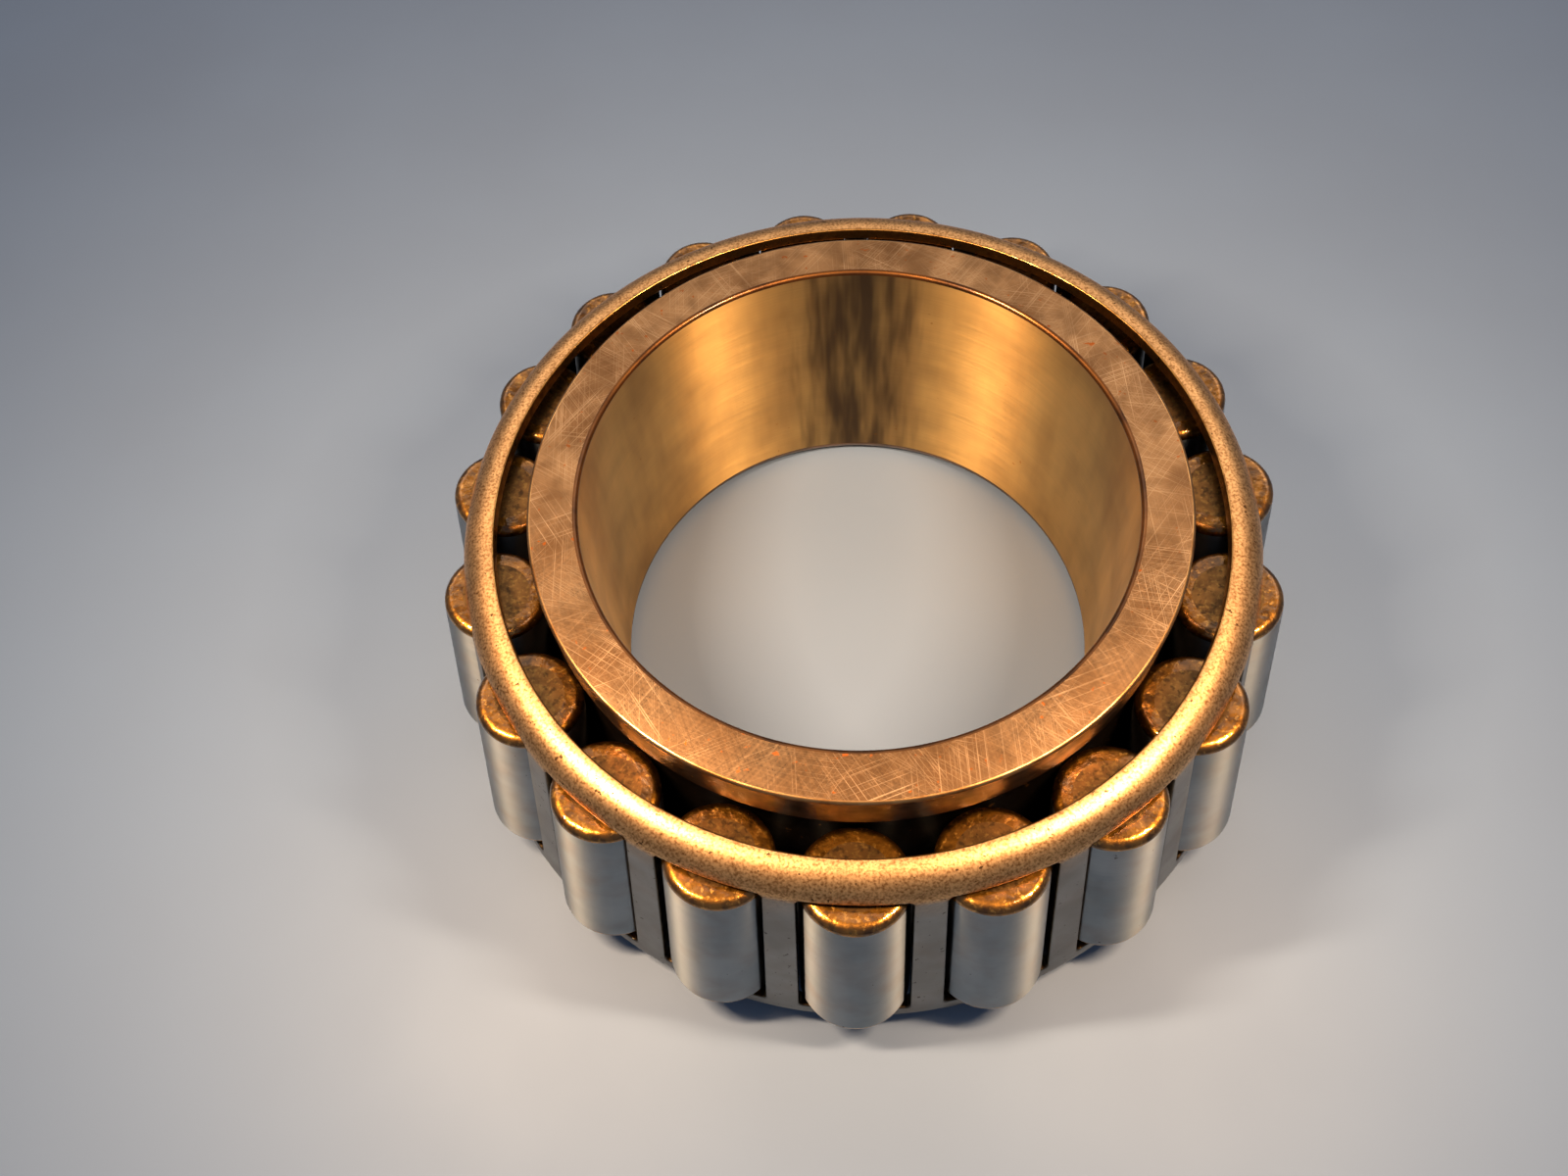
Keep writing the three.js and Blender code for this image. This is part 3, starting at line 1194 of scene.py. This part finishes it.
@dataclass
class Cage:
    """Pressed sheet-steel cage, made from one pitch of flat sheet.

    On the flat sheet, X runs across the pitch, Y up the sheet from the rim's lower edge, and Z
    points out of the outer side.
    """

    frame: Frame
    sheet: float = 2.0 * MM
    flare: float = math.radians(0.7)
    bend_radius: float = 4.4 * MM
    offset: float = 2.6 * MM
    rim_width: float = 2.25 * MM
    side_gap: float = 0.35 * MM
    large_gap: float = 1.0 * MM
    small_gap: float = 0.8 * MM
    pocket_corner: float = 0.8 * MM
    edge_rounding: float = 0.25 * MM
    stretch_width: float = 1.2 * MM
    stretch_lead: float = 0.4 * MM
    flange_edge_width: float = 0.5 * MM
    rim_edge_width: float = 0.8 * MM
    sharp_angle: float = math.radians(60.0)
    pocket_columns: int = 10
    bar_columns: int = 2
    pocket_rows: int = 8
    bend_rows: int = 14
    corner_cuts: int = 3
    lean: float = field(init=False)
    bend_centre: tuple[float, float] = field(init=False)
    rim_edge: tuple[float, float] = field(init=False)
    cone_length: float = field(init=False)
    bend_length: float = field(init=False)
    flat_length: float = field(init=False)
    pocket_top: float = field(init=False)

    def __post_init__(self) -> None:
        """Works out the lines of the sheet's outer side from the frame."""
        size = self.frame
        self.lean = size.tilt + self.flare
        cos_lean, sin_lean = math.cos(self.lean), math.sin(self.lean)
        self.rim_edge = (size.cage_radius, size.cage_low + self.sheet * sin_lean)
        reach = self.rim_edge[0] * cos_lean + self.rim_edge[1] * sin_lean
        bend_height = size.cage_high - self.bend_radius
        bend_at = (reach - self.bend_radius - bend_height * sin_lean) / cos_lean
        self.bend_centre = (bend_at, bend_height)
        start_height = bend_height + self.bend_radius * sin_lean
        self.cone_length = (start_height - self.rim_edge[1]) / cos_lean
        self.bend_length = self.bend_radius * (math.pi / 2.0 - self.lean)
        self.flat_length = bend_at - size.flange_edge_radius
        along = size.roller_length + self.small_gap
        to_centre = (bend_at - size.pitch_radius) * -math.sin(size.tilt)
        to_centre += (bend_height - size.large_end_height) * math.cos(size.tilt)
        angle = size.tilt + math.asin((along - to_centre) / self.bend_radius)
        self.pocket_top = self.cone_length + self.bend_radius * (angle - self.lean)

    @property
    def sheet_length(self) -> float:
        """Length of the outer side from the rim's edge to the flange's edge."""
        return self.cone_length + self.bend_length + self.flat_length

    @property
    def half_pitch(self) -> float:
        """Half the width of one pitch, at the middle of the cone."""
        middle = self.rim_edge[0] - 0.5 * self.cone_length * math.sin(self.lean)
        return middle * math.pi / len(self.frame.stations)

    def pocket_half(self, up: float) -> float:
        """Gives half the width of a pocket.

        Args:
            up: place up the sheet.

        Returns:
            The roller's half chord at the sheet's inner face, and the side gap.
        """
        low, high = self.rim_width, self.pocket_top
        along = min(max(up, low), high) - low - self.large_gap
        offset = self.offset - along * math.tan(self.flare)
        return math.sqrt(self.frame.roller_radius_at(along) ** 2 - offset**2) + self.side_gap

    @property
    def flat_half(self) -> float:
        """Half the width of the pocket on the flat sheet."""
        return self.pocket_half(0.5 * self.pocket_top)

    def outer_line(self, up: float) -> tuple[float, float, float]:
        """Gives a point of the sheet's outer side.

        Args:
            up: place up the sheet.

        Returns:
            Its radius, its height, and the angle that its normal makes with the level.
        """
        centre_radius, centre_height = self.bend_centre
        if up <= self.cone_length:
            radius = self.rim_edge[0] - up * math.sin(self.lean)
            return radius, self.rim_edge[1] + up * math.cos(self.lean), self.lean
        if up <= self.cone_length + self.bend_length:
            angle = self.lean + (up - self.cone_length) / self.bend_radius
            radius = centre_radius + self.bend_radius * math.cos(angle)
            return radius, centre_height + self.bend_radius * math.sin(angle), angle
        past = up - self.cone_length - self.bend_length
        return centre_radius - past, centre_height + self.bend_radius, math.pi / 2.0

    def bent(self, flat: Vector) -> Vector:
        """Bends a point of the flat sheet into the first pitch, which is centred on +X.

        Args:
            flat: point of the flat sheet.

        Returns:
            Its place on the cage.
        """
        radius, height, angle = self.outer_line(flat.y)
        radius += flat.z * math.cos(angle)
        height += flat.z * math.sin(angle)
        half = self.pocket_half(flat.y)
        edge = math.asin(half / radius)
        share = abs(flat.x) / self.flat_half
        if share <= 1.0:
            turn = math.asin(share * half / radius)
        else:
            bar = (abs(flat.x) - self.flat_half) / (self.half_pitch - self.flat_half)
            turn = edge + bar * (math.pi / len(self.frame.stations) - edge)
        turn = math.copysign(turn, flat.x)
        return Vector((radius * math.cos(turn), radius * math.sin(turn), height))

    def _cuts(self) -> tuple[list[float], list[float]]:
        """Gives where the flat sheet is cut into columns and rows.

        Returns:
            Places across and places up.
        """
        half, corner = self.flat_half, self.pocket_corner
        inside = half - corner
        columns = [
            -inside + 2.0 * inside * i / self.pocket_columns
            for i in range(self.pocket_columns + 1)
        ]
        bar = self.half_pitch - half
        for i in range(self.bar_columns):
            columns += [half + bar * i / self.bar_columns, -half - bar * i / self.bar_columns]
        low, high = self.rim_width + corner, self.pocket_top - corner
        rows = [0.5 * self.rim_width, self.rim_width, self.pocket_top]
        rows += [low + (high - low) * i / self.pocket_rows for i in range(self.pocket_rows + 1)]
        end = self.cone_length + self.bend_length
        rows += [
            self.pocket_top + (end - self.pocket_top) * (i + 1) / self.bend_rows
            for i in range(self.bend_rows)
        ]
        return columns, rows

    def _blank(self) -> bmesh.types.BMesh:
        """Makes the flat sheet of one pitch, cut into columns and rows.

        Returns:
            Its mesh.
        """
        mesh = bmesh.new()
        bmesh.ops.create_grid(mesh, x_segments=1, y_segments=1, size=1.0)
        bmesh.ops.translate(mesh, verts=mesh.verts, vec=(0.0, 1.0, 0.0))
        scale = (self.half_pitch, self.sheet_length / 2.0, 1.0)
        bmesh.ops.scale(mesh, verts=mesh.verts, vec=scale)
        columns, rows = self._cuts()
        cuts = [((x, 0.0, 0.0), (1.0, 0.0, 0.0)) for x in columns]
        cuts += [((0.0, y, 0.0), (0.0, 1.0, 0.0)) for y in rows]
        for point, normal in cuts:
            bmesh.ops.bisect_plane(
                mesh,
                geom=mesh.verts[:] + mesh.edges[:] + mesh.faces[:],
                dist=MERGE_DISTANCE,
                plane_co=point,
                plane_no=normal,
            )
        return mesh

    def _in_pocket(self, face: bmesh.types.BMFace) -> bool:
        """Tells whether a face is in the pocket, its corner squares left out.

        Args:
            face: a face of the flat sheet.

        Returns:
            True for one in the pocket.
        """
        half, corner = self.flat_half, self.pocket_corner
        centre = face.calc_center_median()
        across, up = abs(centre.x), min(centre.y - self.rim_width, self.pocket_top - centre.y)
        return across < half and up > 0.0 and (across < half - corner or up > corner)

    def _punch(self, mesh: bmesh.types.BMesh) -> None:
        """Punches the pocket, with rounded corners.

        Args:
            mesh: flat sheet of one pitch.
        """
        half, corner = self.flat_half, self.pocket_corner
        low, high = self.rim_width, self.pocket_top
        waste = [face for face in mesh.faces if self._in_pocket(face)]
        bmesh.ops.delete(mesh, geom=waste, context="FACES")
        for side in (-1.0, 1.0):
            for level, inward in ((low, 1.0), (high, -1.0)):
                centre = Vector((side * (half - corner), level + inward * corner, 0.0))
                tip = Vector((side * half, level, 0.0))
                self._round_corner(mesh, centre, tip)

    def _round_corner(self, mesh: bmesh.types.BMesh, centre: Vector, tip: Vector) -> None:
        """Cuts one corner square of the pocket along its rounding.

        Args:
            mesh: flat sheet of one pitch.
            centre: centre of the rounding, a corner of the square.
            tip: the square's far corner.
        """
        middle = (centre + tip) / 2.0
        square = min(mesh.faces, key=lambda f: (f.calc_center_median() - middle).length)
        ends = [
            v
            for v in square.verts
            if min((v.co - centre).length, (v.co - tip).length) > MERGE_DISTANCE
        ]
        cut = bmesh.ops.connect_verts(mesh, verts=ends)["edges"]
        halves = cut[0].link_faces
        waste = min(halves, key=lambda f: (f.calc_center_median() - centre).length)
        bmesh.ops.delete(mesh, geom=[waste], context="FACES")
        parts = bmesh.ops.subdivide_edges(mesh, edges=cut, cuts=self.corner_cuts)
        for vertex in parts["geom_inner"]:
            if isinstance(vertex, bmesh.types.BMVert):
                outward = (vertex.co - centre).normalized()
                vertex.co = centre + outward * self.pocket_corner

    def _thicken(self, mesh: bmesh.types.BMesh) -> None:
        """Gives the flat sheet its thickness, and leaves its two sides open.

        Args:
            mesh: punched sheet of one pitch.
        """
        outer = mesh.faces[:]
        made = bmesh.ops.extrude_face_region(mesh, geom=outer, use_keep_orig=True)["geom"]
        inner = [part for part in made if isinstance(part, bmesh.types.BMVert)]
        bmesh.ops.translate(mesh, verts=inner, vec=(0.0, 0.0, -self.sheet))
        limit = self.half_pitch - MERGE_DISTANCE
        sides = [f for f in mesh.faces if all(abs(v.co.x) > limit for v in f.verts)]
        bmesh.ops.delete(mesh, geom=sides, context="FACES_ONLY")
        for face in mesh.faces:
            centre = face.calc_center_median()
            if centre.z > -MERGE_DISTANCE:
                face.material_index = CageZone.SHEET
            elif centre.z < MERGE_DISTANCE - self.sheet:
                face.material_index = CageZone.INSIDE
            elif not MERGE_DISTANCE < centre.y < self.sheet_length - MERGE_DISTANCE:
                face.material_index = CageZone.SHEARED_EDGE
            else:
                face.material_index = CageZone.POCKET_WALL

    def build(self) -> bpy.types.Object:
        """Makes and dresses the cage.

        Returns:
            The finished piece.
        """
        mesh = self._blank()
        self._punch(mesh)
        self._thicken(mesh)
        share = mesh.verts.layers.float.new(BEND_SHARE)
        for vertex in mesh.verts:
            past = (vertex.co.y - self.cone_length + self.stretch_lead) / self.stretch_width
            vertex[share] = min(max(past, 0.0), 1.0)
            vertex.co = self.bent(vertex.co)
        first = self.frame.stations[0].place.translation
        start = Matrix.Rotation(math.atan2(first.y, first.x), 4, "Z")
        bmesh.ops.transform(mesh, matrix=start, verts=mesh.verts)
        count = len(self.frame.stations)
        bmesh.ops.spin(
            mesh,
            geom=mesh.verts[:] + mesh.edges[:] + mesh.faces[:],
            cent=(0.0, 0.0, 0.0),
            axis=AXIS,
            angle=FULL_TURN * (count - 1) / count,
            steps=count - 1,
            use_duplicate=True,
        )
        bmesh.ops.remove_doubles(mesh, verts=mesh.verts, dist=MERGE_DISTANCE)
        bmesh.ops.recalc_face_normals(mesh, faces=mesh.faces)
        sharp = [e for e in mesh.edges if e.calc_face_angle(0.0) > self.sharp_angle]
        rounded = bmesh.ops.bevel(
            mesh,
            geom=sharp,
            offset=self.edge_rounding,
            offset_type="OFFSET",
            affect="EDGES",
            segments=2,
            profile=0.5,
            material=-1,
        )
        flange_reach = self.frame.flange_edge_radius + self.flange_edge_width
        rim_reach = self.frame.cage_low + self.rim_edge_width
        for face in rounded["faces"]:
            centre = face.calc_center_median()
            if centre.xy.length < flange_reach or centre.z < rim_reach:
                face.material_index = CageZone.SHEARED_EDGE
        finishes = (CAGE_SHEET, POCKET_WALL, SHEARED_EDGE, CAGE_INSIDE)
        materials = [finish.build() for finish in finishes]
        return finished_piece("pressed_cage", mesh, materials, "cage")


@dataclass(frozen=True)
class Lamp:
    """A soft rectangular light that looks at a point on the bearing."""

    name: str
    place: tuple[float, float, float]
    size: tuple[float, float]
    power: float
    colour: str

    def build(self, target: Vector) -> None:
        """Makes the light.

        Args:
            target: point that it looks at.
        """
        light = bpy.data.lights.new(self.name, "AREA")
        light.shape = "RECTANGLE"
        light.size, light.size_y = self.size
        light.energy = self.power
        light.color = linear(self.colour)[:3]
        lamp = bpy.data.objects.new(self.name, light)
        lamp.location = self.place
        lamp.rotation_mode = "QUATERNION"
        lamp.rotation_quaternion = (target - lamp.location).to_track_quat("-Z", "Y")
        bpy.context.scene.collection.objects.link(lamp)


@dataclass
class Studio:
    """Floor, soft lights and the camera.

    A narrow upright lamp on each side draws a streak in the bore and on every roller, and a faint
    one beside it a paler band. The wide ones behind and above light the rest. Powers are in watts,
    the lens is in millimetres and the camera's angles are in radians.
    """

    frame: Frame
    floor_half: float = 3.0
    floor_squares: int = 8
    lamps: tuple[Lamp, ...] = (
        Lamp("left_lamp", (-0.086, -0.037, 0.178), (0.01, 0.05), 0.66, "FFD6A8"),
        Lamp("right_lamp", (0.086, -0.037, 0.178), (0.012, 0.05), 0.54, "FFD6A8"),
        Lamp("left_glow", (-0.07, -0.045, 0.18), (0.02, 0.05), 0.04, "FFD6A8"),
        Lamp("right_glow", (0.07, -0.045, 0.18), (0.02, 0.05), 0.04, "FFD6A8"),
        Lamp("back_left_lamp", (-0.35, 0.35, 0.5), (0.3, 0.3), 0.4, "FFEAD2"),
        Lamp("back_right_lamp", (0.35, 0.35, 0.5), (0.3, 0.3), 0.4, "FFEAD2"),
        Lamp("overhead_lamp", (0.0, 0.75, 0.8), (1.2, 0.6), 2.4, "FFEAD2"),
    )
    sky: str = "B6C2D2"
    sky_strength: float = 0.34
    lens: float = 26.76
    camera_distance: float = 159.2 * MM
    camera_elevation: float = 0.9876
    camera_pan: float = 0.0613
    camera_tilt: float = -0.0892
    camera_roll: float = 0.0034
    camera_reach: float = 10.0 * MM

    def _floor(self) -> None:
        """Makes the floor, a matt pale sheet."""
        mesh = bmesh.new()
        squares = self.floor_squares
        bmesh.ops.create_grid(mesh, x_segments=squares, y_segments=squares, size=self.floor_half)
        data = bpy.data.meshes.new("floor")
        mesh.to_mesh(data)
        mesh.free()
        floor = bpy.data.objects.new("floor", data)
        data.materials.append(STUDIO_SHEET.build())
        bpy.context.scene.collection.objects.link(floor)

    def _sky(self) -> None:
        """Makes the even light that fills the room."""
        world = bpy.data.worlds.new("room")
        world.use_nodes = True
        tree = world.node_tree
        tree.nodes.clear()
        light = add_node(
            tree, "Background", {"Color": linear(self.sky), "Strength": self.sky_strength}
        )
        add_node(tree, "OutputWorld", {"Surface": light.outputs[0]})
        bpy.context.scene.world = world

    def _camera(self) -> None:
        """Sets the camera above the front of the bearing, looking down at it."""
        target = Vector((0.0, 0.0, self.frame.ring_width))
        away = Vector((0.0, -math.cos(self.camera_elevation), math.sin(self.camera_elevation)))
        forward, right = -away, Vector((1.0, 0.0, 0.0))
        up = right.cross(forward)
        pan = Matrix.Rotation(self.camera_pan, 3, up)
        forward, right = pan @ forward, pan @ right
        tilt = Matrix.Rotation(self.camera_tilt, 3, right)
        forward, up = tilt @ forward, tilt @ up
        roll = Matrix.Rotation(self.camera_roll, 3, forward)
        right, up = roll @ right, roll @ up
        data = bpy.data.cameras.new("camera")
        data.lens = self.lens
        data.clip_start = self.camera_reach
        camera = bpy.data.objects.new("camera", data)
        place = Matrix((right, up, -forward)).transposed().to_4x4()
        place.translation = target + away * self.camera_distance
        camera.matrix_world = place
        bpy.context.scene.collection.objects.link(camera)
        bpy.context.scene.camera = camera

    def build(self) -> None:
        """Makes the stage."""
        # The plain transform keeps the oily steel's warm, saturated colours, which a film curve fades.
        bpy.context.scene.view_settings.view_transform = "Standard"
        self._camera()
        self._floor()
        self._sky()
        for lamp in self.lamps:
            lamp.build(Vector((0.0, 0.0, self.frame.ring_width / 2.0)))


def main() -> None:
    """Measures the model, then builds the stage and every piece."""
    logging.basicConfig(level=logging.INFO, format="%(name)s: %(message)s")
    size = Frame.measure(frame)
    Studio(size).build()
    InnerRing(size).build()
    Cage(size).build()
    Rollers(size).build()


if __name__ == "__main__":
    main()
